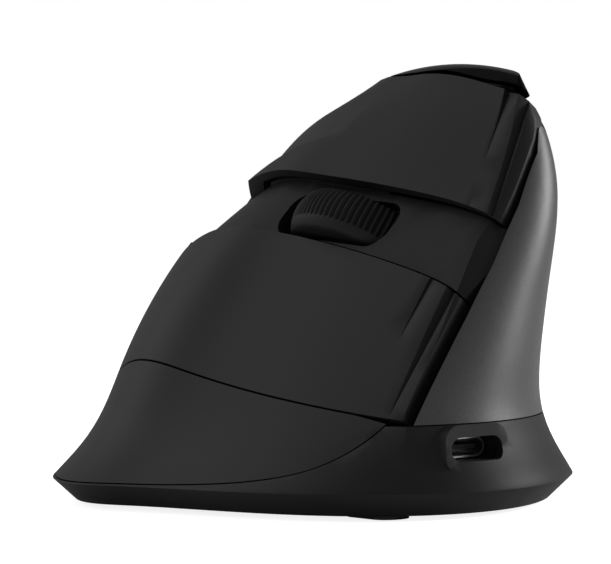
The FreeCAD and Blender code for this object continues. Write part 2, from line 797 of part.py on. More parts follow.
def make_thumb_buttons():
    proud = inner_body(-thumb_button_rise)
    under = inner_body(wall + thumb_rim_end)
    lip_top = inner_body(wall + thumb_rim_start)
    stem_end = thumb_board_x + thumb_board_thickness + thumb_switch_height + thumb_travel + switch_play
    names = ["forward_button", "back_button"]
    faces = thumb_outlines(0)
    rims = thumb_outlines(thumb_rim)
    for name, face, rim, y in zip(names, faces, rims, thumb_centres()):
        own_side = box((0, thumb_button_y + thumb_rim_share, 0), (far, far, far))
        if y < thumb_button_y:
            own_side = box((0, -far, 0), (far, thumb_button_y - thumb_rim_share, far))
        head = proud.cut(under).common(along_x(face, thumb_cut_start, far))
        flange = lip_top.cut(under).common(along_x(rim, thumb_cut_start, far)).common(own_side)
        head = largest(head)
        stem = cylinder(thumb_stem_radius, (stem_end, y, thumb_button_z), (far, y, thumb_button_z))
        stem = stem.common(inner_body(wall))
        keep(name, largest(head.fuse(largest(flange)).fuse(stem)))


def make_thumb_board():
    board = box(
        (thumb_board_x, thumb_board_front, thumb_board_low),
        (thumb_board_x + thumb_board_thickness, thumb_board_back, thumb_board_high),
    )
    keep("thumb_board", board)
    switches = []
    for y in thumb_centres():
        half = thumb_switch_side / 2
        switches.append(box(
            (thumb_board_x + thumb_board_thickness, y - half, thumb_button_z - half),
            (thumb_board_x + thumb_board_thickness + thumb_switch_height, y + half, thumb_button_z + half),
        ))
    keep("thumb_switches", *switches)


# Finger side

def front_block(line):
    """The part of the finger face in front of a line across it."""
    ends = [(-face_span, -face_span), (line, -face_span), (line, face_span), (-face_span, face_span)]
    return polygon(ends)


def crease_tool(start, end, depth, turn):
    """A block that pares a button's front to a facet turned towards the nose."""
    (s1, t1), (s2, t2) = start, end
    across = math.degrees(math.atan2(s1 - s2, t1 - t2))
    block = box((-30, -50, -30), (0, 50, 0))
    block.rotate(Vector(0, 0, 0), Vector(0, 1, 0), -turn)
    block.rotate(Vector(0, 0, 0), Vector(0, 0, 1), -across)
    block.translate(Vector(s2, t2, depth))
    return on_face(block)


def make_buttons():
    centres = {"upper_button": upper_switch_t, "lower_button": lower_switch_t}
    wires = {"upper_button": upper_wire, "lower_button": lower_wire}
    reaches = {"upper_button": upper_reach, "lower_button": lower_reach}
    creases = {"upper_button": upper_creases, "lower_button": lower_creases}
    front = face_prism(front_block(front_zone - thick_overlap), face_span)
    thick = body.cut(inner_body(front_thickness)).common(front)
    for name, wire in wires.items():
        zone = finger_zone(wire, reaches[name], 0)
        if name == "upper_button":
            zone = zone.common(finger_half(silver_edge_x - ridge_gap))
        button = largest(skin.fuse(thick).common(zone))
        for crease in creases[name]:
            button = largest(button.cut(crease_tool(*crease)))
        post = on_face(cylinder(
            button_post_radius,
            (switch_s + plunger_shift, centres[name], button_post_root),
            (switch_s + plunger_shift, centres[name], plunger_top - running_gap),
        ))
        keep(name, largest(button.fuse(post)))


def make_frame():
    """The frame under the buttons, with the wheel strip raised on it."""
    region = finger_zone(polygon(frame_outline), frame_reach, 0)
    plain = inner_lip.cut(inner_room).common(region)
    pockets = inner_wall.cut(inner_frame)
    upper_pocket = pockets.common(face_prism(grown(upper_wire, frame_rim), face_span))
    lower_pocket = pockets.common(face_prism(grown(lower_wire, frame_rim), face_span))
    groove_pocket = pockets.common(face_prism(groove_wire, face_span))
    strip_zone = finger_zone(strip_wire, lower_reach, lip_clearance - strip_nose_gap)
    frame = plain.cut(upper_pocket).cut(lower_pocket).cut(groove_pocket).cut(strip_zone)
    sloped = strip_shell.copy()
    sloped.rotate(Vector(*face_point) + face_t * strip_hinge_t, face_s, strip_slope)
    strip = strip_shell.common(sloped).cut(inner_room).common(strip_zone)
    strip = strip.cut(upper_rim.cut(inner_frame)).cut(lower_rim.cut(inner_frame))
    frame = largest(frame.fuse(largest(strip)))
    for wire, line in ((upper_wire, upper_front_zone), (lower_wire, front_zone)):
        opening = face_prism(front_block(line), face_span)
        frame = frame.cut(face_prism(grown(wire, press_gap), face_span).common(opening))
    return largest(frame.cut(level_slice(0, base_seam_height)))


upper_rim = face_prism(grown(upper_wire, press_gap), face_span)
lower_rim = face_prism(grown(lower_wire, press_gap), face_span)


def finish_frame(frame):
    slot = rounded_rectangle(wheel_slot_length, wheel_slot_width, wheel_slot_corner)
    frame = frame.cut(at_wheel(plate(slot, -slot_outside, slot_outside + slot_inside)))
    for t in (upper_switch_t, lower_switch_t):
        s = switch_s + plunger_shift
        hole = cylinder(button_post_radius + button_post_gap, (s, t, -far), (s, t, plunger_top))
        frame = frame.cut(on_face(hole))
    embed = inner_body(frame_depth + embed_extra)
    for s, t in board_posts:
        post = on_face(cylinder(board_post_radius, (s, t, 0), (s, t, board_depth)))
        frame = frame.fuse(post.common(embed))
    for s, t in board_posts:
        hole = cylinder(board_screw_radius, (s, t, board_depth - board_screw_hole), (s, t, board_depth + 1))
        frame = frame.cut(on_face(hole))
    for x, length in ((-guide_x, guide_front_end), (guide_x, guide_back_end)):
        pin = at_wheel(cylinder(guide_radius, (x, 0, -wheel_depth), (x, 0, length)))
        frame = frame.fuse(pin.common(embed))
    for x, y in body_posts[:2]:
        bar = cylinder(body_post_radius, (x, y, body_post_start), (x, y, far)).common(embed)
        frame = frame.fuse(bar).cut(screw_hole(x, y))
    keep("button_frame", largest(frame))


def make_button_board():
    board = plate(polygon(button_board_outline), board_depth, board_thickness)
    for s, t in board_posts:
        hole_radius = board_screw_radius + board_screw_hole_gap
        board = board.cut(cylinder(hole_radius, (s, t, 0), (s, t, board_depth + far)))
    keep("button_board", on_face(board))
    screws = []
    for s, t in board_posts:
        back = board_depth + board_thickness
        head = cylinder(board_screw_head_radius, (s, t, back), (s, t, back + board_screw_head_height))
        shank = cylinder(board_screw_radius, (s, t, back), (s, t, back - button_board_shank))
        screws.append(on_face(head.fuse(shank)))
    keep("button_board_screws", *screws)


def make_switches():
    names = (("upper", upper_switch_t), ("lower", lower_switch_t))
    for name, t in names:
        top = board_depth - switch_height
        case = box(
            (switch_s - switch_length / 2, t - switch_width / 2, top),
            (switch_s + switch_length / 2, t + switch_width / 2, board_depth),
        )
        plunger_s = switch_s + plunger_shift
        half = plunger_width / 2
        half_length = plunger_length / 2
        pocket = box(
            (plunger_s - half - running_gap, t - half_length - running_gap, top - 1),
            (plunger_s + half + running_gap, t + half_length + running_gap, top + plunger_pocket),
        )
        plunger = box(
            (plunger_s - half, t - half_length, plunger_top),
            (plunger_s + half, t + half_length, top + plunger_foot),
        )
        keep(name + "_switch_case", on_face(case.cut(pocket)))
        keep(name + "_switch_plunger", on_face(plunger))


# Wheel

def turned(points):
    """A solid turned about the local y axis from a closed profile of (radius, y) points."""
    corners = [Vector(r, y, 0) for r, y in points]
    face = Part.Face(Part.makePolygon(corners + [corners[0]]))
    return face.revolve(Vector(0, 0, 0), Vector(0, 1, 0), 360)


def make_wheel():
    half = wheel_width / 2
    edge = wheel_radius - wheel_crown
    crown = Part.Arc(Vector(edge, -half, 0), Vector(wheel_radius, 0, 0), Vector(edge, half, 0)).toShape()
    profile = Part.Wire([
        crown,
        Part.LineSegment(Vector(edge, half, 0), Vector(hub_radius, half, 0)).toShape(),
        Part.LineSegment(Vector(hub_radius, half, 0), Vector(hub_radius, -half, 0)).toShape(),
        Part.LineSegment(Vector(hub_radius, -half, 0), Vector(edge, -half, 0)).toShape(),
    ])
    tyre = Part.Face(profile).revolve(Vector(0, 0, 0), Vector(0, 1, 0), 360)
    keep("wheel_tyre", at_wheel(tyre))
    rim_inside = hub_radius - hub_rim
    dish = half - hub_dish
    hub = turned([
        (axle_radius, -half), (hub_boss_radius, -half), (hub_boss_radius, -dish), (rim_inside, -dish),
        (rim_inside, -half), (hub_radius, -half), (hub_radius, half), (rim_inside, half),
        (rim_inside, dish), (hub_boss_radius, dish), (hub_boss_radius, half), (axle_radius, half),
    ])
    keep("wheel_hub", at_wheel(hub))
    blind_end = cradle_half_width - cradle_end_wall - axle_end_play
    axle = cylinder(axle_radius, (0, -cradle_half_width - axle_stub, 0), (0, blind_end, 0))
    keep("wheel_axle", at_wheel(axle))


def make_cradle():
    inner_half = wheel_width / 2 + cradle_side_gap
    ring = box(
        (-cradle_front, -cradle_half_width, -cradle_depth_half),
        (cradle_back, cradle_half_width, cradle_depth_half),
    )
    well_half = wheel_radius + cradle_well_gap
    well = box((-well_half, -inner_half, -wheel_radius), (well_half, inner_half, wheel_radius))
    ring = ring.cut(well)
    bore_end = cradle_half_width - cradle_end_wall
    ring = ring.cut(cylinder(axle_radius + running_gap, (0, -far, 0), (0, bore_end, 0)))
    for x in (-guide_x, guide_x):
        ring = ring.cut(cylinder(guide_radius + running_gap, (x, 0, -wheel_radius), (x, 0, wheel_radius)))
    keep("wheel_cradle", at_wheel(ring))
    encoder = box(
        (-encoder_length / 2, -cradle_half_width - encoder_thickness, encoder_low),
        (encoder_length / 2, -cradle_half_width, encoder_high),
    )
    stub_end = -cradle_half_width - axle_stub - stub_end_play
    encoder = encoder.cut(cylinder(axle_radius + running_gap, (0, stub_end, 0), (0, 0, 0)))
    keep("scroll_encoder", at_wheel(encoder))
    spring_room = board_depth - wheel_depth
    click_top = cradle_depth_half + wheel_click_travel + switch_play
    spring = cylinder(spring_outer_radius, (guide_x, 0, click_top), (guide_x, 0, spring_room))
    spring = spring.cut(cylinder(spring_inner_radius, (guide_x, 0, 0), (guide_x, 0, wheel_radius)))
    keep("wheel_spring", at_wheel(spring))
    half = click_switch_side / 2
    click = box((-guide_x - half, -half, click_top), (-guide_x + half, half, spring_room))
    keep("click_switch", at_wheel(click))


# Base fittings

def make_main_board():
    board = plate(polygon(main_board_outline), board_bottom, main_board_thickness)
    for x, y in main_board_posts:
        board = board.cut(cylinder(board_screw_radius + board_screw_hole_gap, (x, y, 0), (x, y, far)))
    keep("main_board", board)
    screws = []
    head_top = board_top + board_screw_head_height
    for x, y in main_board_posts:
        head = cylinder(board_screw_head_radius, (x, y, board_top), (x, y, head_top))
        shank = cylinder(board_screw_radius, (x, y, board_top), (x, y, board_bottom - main_board_shank))
        screws.append(head.fuse(shank))
    keep("main_board_screws", *screws)
    front = -port_boss_face + receptacle_setback
    back = front + receptacle_length
    middle = (port_x, port_height)
    shell = along_y(stadium(receptacle_width, receptacle_height, middle), front, back)
    hollow = along_y(
        stadium(receptacle_width - 2 * receptacle_wall, receptacle_height - 2 * receptacle_wall, middle),
        front - 1, back - receptacle_back,
    )
    keep("port_shell", shell.cut(hollow))
    tongue = box(
        (port_x - tongue_width / 2, front + tongue_setback, port_height - tongue_thickness / 2),
        (port_x + tongue_width / 2, back - receptacle_back, port_height + tongue_thickness / 2),
    )
    keep("port_tongue", tongue)
    chips = []
    for x, y, length, width, height in chip_boxes:
        chips.append(box((x, y, board_top), (x + length, y + width, board_top + height)))
    keep("main_board_chips", *chips)


def make_sensor():
    lens_top = floor_top + lens_thickness
    plate_box = box(
        (-lens_width / 2, sensor_y - lens_length / 2, floor_top),
        (lens_width / 2, sensor_y + lens_length / 2, lens_top),
    )
    window = cylinder(
        sensor_window_radius - lens_window_gap, (0, sensor_y, lens_window_start), (0, sensor_y, lens_top)
    )
    keep("sensor_lens", plate_box.fuse(window))
    chip = box(
        (-sensor_width / 2, sensor_y - sensor_length / 2, lens_top),
        (sensor_width / 2, sensor_y + sensor_length / 2, board_bottom),
    )
    keep("optical_sensor", chip)


def make_battery():
    middle = (battery_x, battery_front + battery_length / 2)
    outline = rounded_rectangle(battery_width, battery_length, battery_corner, middle)
    keep("battery", plate(outline, floor_top, battery_height))


def make_power_switch():
    """The sliding switch under the base, its flange over the floor and its case."""
    flange_low = floor_top + power_play
    flange_top = flange_low + power_flange_thickness
    knob = plate(
        rounded_rectangle(power_knob_length, power_knob_width, power_knob_corner, (power_x, power_y)),
        power_knob_bottom, flange_top - power_knob_bottom,
    )
    half = power_knob_length / 2 + power_travel + power_flange_margin
    flange = box(
        (power_x - half, power_y - power_flange_half, flange_low),
        (power_x + half, power_y + power_flange_half, flange_top),
    )
    keep("power_slider", knob.fuse(flange))
    case = box(
        (power_x - power_case_half, power_y - power_case_half_width, flange_top + power_play),
        (power_x + power_case_half + power_travel, power_y + power_case_half_width, board_bottom),
    )
    keep("power_switch_case", case)


def make_mode_button():
    """The small button under the base and its switch on the main board."""
    stem_top = board_bottom - mode_switch_height - mode_travel - switch_play
    knob = cylinder(mode_radius, (mode_x, mode_y, underside_height + mode_recess), (mode_x, mode_y, stem_top))
    flange_low = floor_top + mode_gap
    flange_top = flange_low + mode_flange_thickness
    flange = cylinder(mode_radius + mode_flange, (mode_x, mode_y, flange_low), (mode_x, mode_y, flange_top))
    keep("mode_button", knob.fuse(flange))
    half = mode_switch_side / 2
    switch = box(
        (mode_x - half, mode_y - half, board_bottom - mode_switch_height),
        (mode_x + half, mode_y + half, board_bottom),
    )
    keep("mode_switch", switch)


def make_underside():
    pads = []
    for x, y in foot_places:
        outline = rounded_rectangle(foot_width, foot_length, foot_width / 2 - 0.05, (x, y))
        pads.append(plate(outline, 0, foot_thickness))
    keep("glide_feet", *pads)
    screws = []
    head_low = screw_seat_height - screw_head_height
    screw_end = screw_seat_height + screw_length
    for x, y in body_posts:
        head = cylinder(screw_head_radius, (x, y, head_low), (x, y, screw_seat_height))
        shank = cylinder(screw_shank_radius, (x, y, screw_seat_height), (x, y, screw_end))
        screws.append(head.fuse(shank))
    keep("base_screws", *screws)


cover = make_shells()
finish_cover(cover)
make_base()
make_buttons()
finish_frame(make_frame())
make_button_board()
make_switches()
make_wheel()
make_cradle()
make_thumb_buttons()
make_thumb_board()
make_main_board()
make_sensor()
make_battery()
make_power_switch()
make_mode_button()
make_underside()

# The middle of the whole lies over the origin
span = nodes["base_shell"].optimalBoundingBox(False)
to_middle = Vector(-(span.XMin + span.XMax) / 2, -(span.YMin + span.YMax) / 2, 0)
print("moved by", round(to_middle.x, 4), round(to_middle.y, 4))

for name in sorted(nodes):
    shape = nodes[name].copy()
    shape.translate(to_middle)
    if not shape.isValid():
        print("not valid:", name)
    print(name, len(shape.Solids), round(shape.Volume, 1))
    path = "parts/" + name + ".step"
    shape.exportStep(path)
    if len(Part.read(path).Solids) != len(shape.Solids):
        print("not closed:", name)
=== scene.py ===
# %% [markdown]
# An upright computer mouse for the right hand. Black satin shells cover the
# finger side, a silver coat covers the thumb side, and a ribbed wheel turns
# between two large buttons. The solid model brings every piece at its real
# size, and this script gives the pieces their finish, their softened edges,
# the light and the camera.

import json
import math

import bmesh
import bpy
from mathutils import Matrix, Vector

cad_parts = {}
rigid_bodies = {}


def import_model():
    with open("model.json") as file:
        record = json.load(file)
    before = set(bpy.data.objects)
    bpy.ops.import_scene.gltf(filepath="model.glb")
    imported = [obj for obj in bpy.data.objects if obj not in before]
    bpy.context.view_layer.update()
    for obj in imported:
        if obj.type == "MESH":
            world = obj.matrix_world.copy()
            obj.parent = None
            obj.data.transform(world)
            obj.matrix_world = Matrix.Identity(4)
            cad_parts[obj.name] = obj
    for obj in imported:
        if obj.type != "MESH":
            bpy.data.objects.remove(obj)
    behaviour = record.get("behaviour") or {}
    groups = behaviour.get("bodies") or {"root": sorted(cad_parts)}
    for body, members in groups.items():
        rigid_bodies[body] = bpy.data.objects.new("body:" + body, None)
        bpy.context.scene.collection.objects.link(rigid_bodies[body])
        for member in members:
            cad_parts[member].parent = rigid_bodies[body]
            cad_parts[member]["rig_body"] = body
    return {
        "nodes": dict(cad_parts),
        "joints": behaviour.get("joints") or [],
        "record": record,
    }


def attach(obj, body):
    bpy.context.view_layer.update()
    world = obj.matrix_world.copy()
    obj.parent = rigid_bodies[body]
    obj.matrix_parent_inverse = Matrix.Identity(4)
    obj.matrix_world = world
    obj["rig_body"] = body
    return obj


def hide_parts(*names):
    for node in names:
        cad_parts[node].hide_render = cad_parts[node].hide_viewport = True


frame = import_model()
nodes = frame["nodes"]
joints = {joint["name"]: joint for joint in frame["joints"]}
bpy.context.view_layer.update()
mm = 0.001
print("pieces in the solid model:", len(nodes))

# %% [markdown]
# Fine spark texture. The tool that makes a plastic shell is eroded by sparks,
# which leaves a dull, pebbled skin a few tenths of a millimetre across. Two
# sizes of noise are enough: the small one is the grain itself, and the large
# one varies the sheen a little from place to place. Several finishes need it,
# so it is one node group, and each finish gives it its own size.

# %% Node group: moulded grain
sheen_cloud_scale = 60.0


def new_group(name, inputs, outputs):
    """An empty shader group with the named sockets, and its two end nodes."""
    group = bpy.data.node_groups.new(name, "ShaderNodeTree")
    for label, kind, value in inputs:
        socket = group.interface.new_socket(label, in_out="INPUT", socket_type=kind)
        if value is not None:
            socket.default_value = value
    for label, kind in outputs:
        group.interface.new_socket(label, in_out="OUTPUT", socket_type=kind)
    start = group.nodes.new("NodeGroupInput")
    end = group.nodes.new("NodeGroupOutput")
    return group, start, end


def add_node(tree, kind, **values):
    """A node with its properties, or its unlinked inputs, set by name."""
    node = tree.nodes.new(kind)
    for key, value in values.items():
        if hasattr(node, key):
            setattr(node, key, value)
        else:
            node.inputs[key].default_value = value
    return node


def moulded_grain_group():
    group, start, end = new_group(
        "moulded grain",
        [
            ("Vector", "NodeSocketVector", None),
            ("Grain Size", "NodeSocketFloat", 0.3 * mm),
            ("Dull", "NodeSocketFloat", 0.48),
            ("Dull Spread", "NodeSocketFloat", 0.06),
        ],
        [
            ("Height", "NodeSocketFloat"),
            ("Roughness", "NodeSocketFloat"),
            ("Cloud", "NodeSocketFloat"),
        ],
    )
    link = group.links.new
    per_metre = add_node(group, "ShaderNodeMath", operation="DIVIDE")
    per_metre.inputs[0].default_value = 1.0
    link(start.outputs["Grain Size"], per_metre.inputs[1])
    fine = add_node(group, "ShaderNodeTexNoise", Detail=2.0, Roughness=0.6)
    link(start.outputs["Vector"], fine.inputs["Vector"])
    link(per_metre.outputs[0], fine.inputs["Scale"])
    cloud = add_node(
        group, "ShaderNodeTexNoise", Scale=sheen_cloud_scale, Detail=3.0, Roughness=0.55,
    )
    link(start.outputs["Vector"], cloud.inputs["Vector"])
    spread = add_node(group, "ShaderNodeMath", operation="MULTIPLY_ADD")
    centred = add_node(group, "ShaderNodeMath", operation="SUBTRACT")
    centred.inputs[1].default_value = 0.5
    link(cloud.outputs["Fac"], centred.inputs[0])
    link(centred.outputs[0], spread.inputs[0])
    link(start.outputs["Dull Spread"], spread.inputs[1])
    link(start.outputs["Dull"], spread.inputs[2])
    link(fine.outputs["Fac"], end.inputs["Height"])
    link(spread.outputs[0], end.inputs["Roughness"])
    link(cloud.outputs["Fac"], end.inputs["Cloud"])
    return group


grain = moulded_grain_group()
print("node group:", grain.name)

# %% [markdown]
# Each finish is one material. The colour and the dullness come from the grain
# group, and what is the same all over the surface is set on the shader. The
# blacks have a low specular level, the polished one the lowest, because at the
# usual level the reflection of the pale room turns them grey. The levels were
# chosen by comparing renders.

# %% Finishes


def new_material(name):
    """A material with its shader and a node that reads the piece's own coordinates."""
    material = bpy.data.materials.new(name)
    material.use_nodes = True
    tree = material.node_tree
    shader = tree.nodes["Principled BSDF"]
    place = tree.nodes.new("ShaderNodeTexCoord")
    return material, tree, shader, place


def grained(name, colour, dull, size=0.3 * mm, relief=0.12, spread=0.06, tone=0.12, **sockets):
    """A moulded or coated surface with fine grain and a slightly uneven sheen."""
    material, tree, shader, place = new_material(name)
    texture = add_node(tree, "ShaderNodeGroup", node_tree=grain)
    texture.inputs["Grain Size"].default_value = size
    texture.inputs["Dull"].default_value = dull
    texture.inputs["Dull Spread"].default_value = spread
    bump = add_node(tree, "ShaderNodeBump", Strength=relief, Distance=0.05 * mm)
    ramp = add_node(tree, "ShaderNodeValToRGB")
    low, high = ramp.color_ramp.elements
    low.position, high.position = 0.3, 0.7
    low.color = [channel * (1 - tone) for channel in colour] + [1.0]
    high.color = [channel * (1 + tone) for channel in colour] + [1.0]
    link = tree.links.new
    link(place.outputs["Object"], texture.inputs["Vector"])
    link(texture.outputs["Height"], bump.inputs["Height"])
    link(texture.outputs["Roughness"], shader.inputs["Roughness"])
    link(texture.outputs["Cloud"], ramp.inputs["Fac"])
    link(ramp.outputs["Color"], shader.inputs["Base Color"])
    link(bump.outputs["Normal"], shader.inputs["Normal"])
    for socket, value in sockets.items():
        shader.inputs[socket.replace("_", " ")].default_value = value
    return material


satin_black = grained(
    "satin black plastic", (0.0102, 0.0102, 0.0106), 0.52, relief=0.2, Specular_IOR_Level=0.26,
)
strip_black = grained(
    "wheel strip plastic", (0.0088, 0.0088, 0.0092), 0.54, relief=0.2, Specular_IOR_Level=0.25,
)
gloss_black = grained(
    "polished black", (0.0015, 0.0015, 0.0015), 0.22, relief=0.0, spread=0.04,
    Specular_IOR_Level=0.03,
)
rubber = grained(
    "tyre rubber", (0.010, 0.010, 0.010), 0.58, size=0.2 * mm, relief=0.25,
    Specular_IOR_Level=0.3,
)
wheel_plastic = grained("wheel core plastic", (0.02, 0.02, 0.02), 0.35)
foot_plastic = grained("slippery foot plastic", (0.05, 0.05, 0.055), 0.38, size=0.5 * mm)
cradle_plastic = grained("natural nylon", (0.62, 0.61, 0.56), 0.45, tone=0.03)
switch_plastic = grained("switch case plastic", (0.03, 0.03, 0.032), 0.42)
plunger_plastic = grained("plunger plastic", (0.5, 0.04, 0.03), 0.4)
board_green = grained("solder mask", (0.02, 0.12, 0.05), 0.3, size=1.0 * mm, tone=0.2)
chip_black = grained("chip resin", (0.018, 0.018, 0.02), 0.5)
foil = grained("battery foil", (0.6, 0.6, 0.62), 0.35, size=1.5 * mm, relief=0.3, Metallic=1.0)
steel = grained("bright steel", (0.55, 0.55, 0.56), 0.28, size=0.15 * mm, tone=0.05, Metallic=1.0)
lens_clear = grained(
    "lens plastic", (0.85, 0.88, 0.9), 0.08, relief=0.0, spread=0.02, Transmission_Weight=1.0,
)
print("finishes made:", len(bpy.data.materials))

# %% [markdown]
# The silver coat holds metal flakes in a clear binder. Each flake catches the
# light at its own angle, so up close the coat glitters in points about a tenth
# of a millimetre wide. A cell texture gives every flake its own brightness.

# %% Silver coat
flake_scale = 9000.0
flake_dark = (0.078, 0.078, 0.079, 1.0)
flake_light = (0.102, 0.102, 0.103, 1.0)
binder_scale = 2500.0
binder_dull = (0.42, 0.50)
coat_metallic = 0.7


def silver_coat():
    material, tree, shader, place = new_material("silver coat")
    link = tree.links.new
    flakes = add_node(tree, "ShaderNodeTexVoronoi", Scale=flake_scale)
    glint = add_node(tree, "ShaderNodeValToRGB")
    dark, light = glint.color_ramp.elements
    dark.position, light.position = 0.05, 0.95
    dark.color, light.color = flake_dark, flake_light
    clouds = add_node(tree, "ShaderNodeTexNoise", Scale=binder_scale, Detail=2.0)
    dull = add_node(tree, "ShaderNodeMapRange")
    dull.inputs["To Min"].default_value, dull.inputs["To Max"].default_value = binder_dull
    bump = add_node(tree, "ShaderNodeBump", Strength=0.08, Distance=0.03 * mm)
    link(place.outputs["Object"], flakes.inputs["Vector"])
    link(place.outputs["Object"], clouds.inputs["Vector"])
    link(flakes.outputs["Color"], glint.inputs["Fac"])
    link(glint.outputs["Color"], shader.inputs["Base Color"])
    link(clouds.outputs["Fac"], dull.inputs["Value"])
    link(dull.outputs["Result"], shader.inputs["Roughness"])
    link(clouds.outputs["Fac"], bump.inputs["Height"])
    link(bump.outputs["Normal"], shader.inputs["Normal"])
    shader.inputs["Metallic"].default_value = coat_metallic
    return material


silver = silver_coat()
print("finish:", silver.name)

# %% [markdown]
# Every node of the solid model gets the finish of its material slot. The
# meshes stay as they are.

# %% Finish the solid model's pieces
finish_of_slot = {
    "black_plastic": satin_black,
    "strip_plastic": strip_black,
    "silver_coat": silver,
    "gloss_black": gloss_black,
    "slippery_plastic": foot_plastic,
    "tyre_rubber": rubber,
    "wheel_plastic": wheel_plastic,
    "cradle_plastic": cradle_plastic,
    "steel": steel,
    "switch_plastic": switch_plastic,
    "plunger_plastic": plunger_plastic,
    "board_laminate": board_green,
    "chip_plastic": chip_black,
    "clear_plastic": lens_clear,
    "battery_foil": foil,
}
slot_of = {entry["node"]: entry["material_slot"] for entry in frame["record"]["subparts"]}
for name, piece in nodes.items():
    piece.data.materials.clear()
    piece.data.materials.append(finish_of_slot[slot_of[name]])
print("pieces finished:", len(nodes))

# %% [markdown]
# No moulded edge is truly sharp: the tool leaves a radius of a few tenths of a
# millimetre, and that radius is what catches the light along each seam. The
# outer shells are therefore shown as welded copies of their solids, with a
# bevel on every edge that turns by more than a set angle. The cap's end over
# the nose and the upper button's edge beside it are rounded more broadly.

# %% Outer shells with softened edges
sharp_turn = math.radians(32.0)
edge_segments = 3
weld_distance = 0.002 * mm
cap_end_y = -33 * mm
button_front_y = -20 * mm
button_top_z = 61 * mm


def softened(name, width, broad, broad_width):
    """A welded copy of a solid piece with its sharp edges rounded, shown in its place.

    Edges whose middle lies where broad says yes get the broad width.
    """
    source = nodes[name]
    mesh = source.data.copy()
    piece = bpy.data.objects.new(name + "_skin", mesh)
    bpy.context.scene.collection.objects.link(piece)
    shell = bmesh.new()
    shell.from_mesh(mesh)
    bmesh.ops.remove_doubles(shell, verts=shell.verts, dist=weld_distance)
    bmesh.ops.dissolve_degenerate(shell, edges=shell.edges, dist=weld_distance)
    full = max(width, broad_width)
    weight = shell.edges.layers.float.new("bevel_weight_edge")
    for edge in shell.edges:
        if len(edge.link_faces) == 2 and edge.calc_face_angle(0.0) > sharp_turn:
            wide = broad((edge.verts[0].co + edge.verts[1].co) / 2)
            edge[weight] = (broad_width if wide else width) / full
    shell.to_mesh(mesh)
    shell.free()
    mesh.shade_smooth()
    mesh.set_sharp_from_angle(angle=sharp_turn)
    rounding = piece.modifiers.new("rounded edges", "BEVEL")
    rounding.width = full
    rounding.segments = edge_segments
    rounding.limit_method = "WEIGHT"
    rounding.harden_normals = True
    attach(piece, source["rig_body"])
    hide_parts(name)


shell_edges = {
    "upper_button": 0.35 * mm,
    "lower_button": 0.35 * mm,
    "side_shelf": 0.15 * mm,
    "base_shell": 0.15 * mm,
    "palm_shell": 0.15 * mm,
    "thumb_cover": 0.2 * mm,
    "ridge_cap": 0.15 * mm,
    "button_frame": 0.15 * mm,
    "forward_button": 0.3 * mm,
    "back_button": 0.3 * mm,
}


def nowhere(place):
    return False


def cap_nose_end(place):
    return place.y < cap_end_y


def button_front_top(place):
    return place.y < button_front_y and place.z > button_top_z


broad_edges = {
    "ridge_cap": (cap_nose_end, 1.0 * mm),
    "upper_button": (button_front_top, 0.7 * mm),
}
for name, width in shell_edges.items():
    broad, broad_width = broad_edges.get(name, (nowhere, 0.0))
    softened(name, width, broad, broad_width)
print("softened shells:", sorted(shell_edges))

# %% [markdown]
# The tyre is moulded rubber with a row of crosswise ribs for grip and a plain
# band along its lower side. One rib is shaped from a small grid, and a spin with
# copies sets the ribs round the wheel, so that they meet without a seam.

# %% Ribbed tyre
tyre_radius = 13.5 * mm
tyre_half_width = 3.7 * mm
tyre_crown = 1.1 * mm
tyre_shoulder_start = 2.9 * mm
tyre_shoulder_drop = 0.35 * mm
tyre_sharp_turn = math.radians(50)
hub_radius = 10.6 * mm
rib_count = 76
rib_depth = 0.55 * mm
rib_join_distance = 0.01 * mm
rib_profile = [1.0, 0.8, 0.15, 0.0, 0.15, 0.8, 1.0]
across_stops = [-3.7, -3.4, -2.7, -2.1, -1.75, -0.7, 0.4, 1.5, 2.5, 3.3, 3.7]
band_profile = [0.0, 0.0, 0.0, 0.0, 1.0, 1.0, 1.0, 1.0, 1.0, 1.0, 1.0]


def rib_grid(tyre):
    """One rib's patch of the tread, bent to the wheel's radius."""
    along, across = len(rib_profile) - 1, len(across_stops) - 1
    bmesh.ops.create_grid(tyre, x_segments=along, y_segments=across, size=0.5)
    pitch = 2 * math.pi / rib_count
    for vert in tyre.verts:
        step = round((vert.co.x + 0.5) * along)
        stop = round((vert.co.y + 0.5) * across)
        side = across_stops[stop] * mm
        shoulder = max(0.0, abs(side) - tyre_shoulder_start)
        shoulder /= tyre_half_width - tyre_shoulder_start
        radius = tyre_radius - tyre_crown * (side / tyre_half_width) ** 2
        radius -= tyre_shoulder_drop * shoulder ** 2
        radius -= rib_depth * rib_profile[step] * band_profile[stop]
        turn = (step / along - 0.5) * pitch
        vert.co = Vector((radius * math.sin(turn), side, radius * math.cos(turn)))


def wheel_place():
    """The wheel's centre and axle direction as a matrix, from the joint that it turns on."""
    joint = joints["wheel_spin"]
    axle = Vector(joint["axis"]).normalized()
    turn = Vector((0, 1, 0)).rotation_difference(axle)
    return Matrix.Translation(Vector(joint["pos_m"])) @ turn.to_matrix().to_4x4()


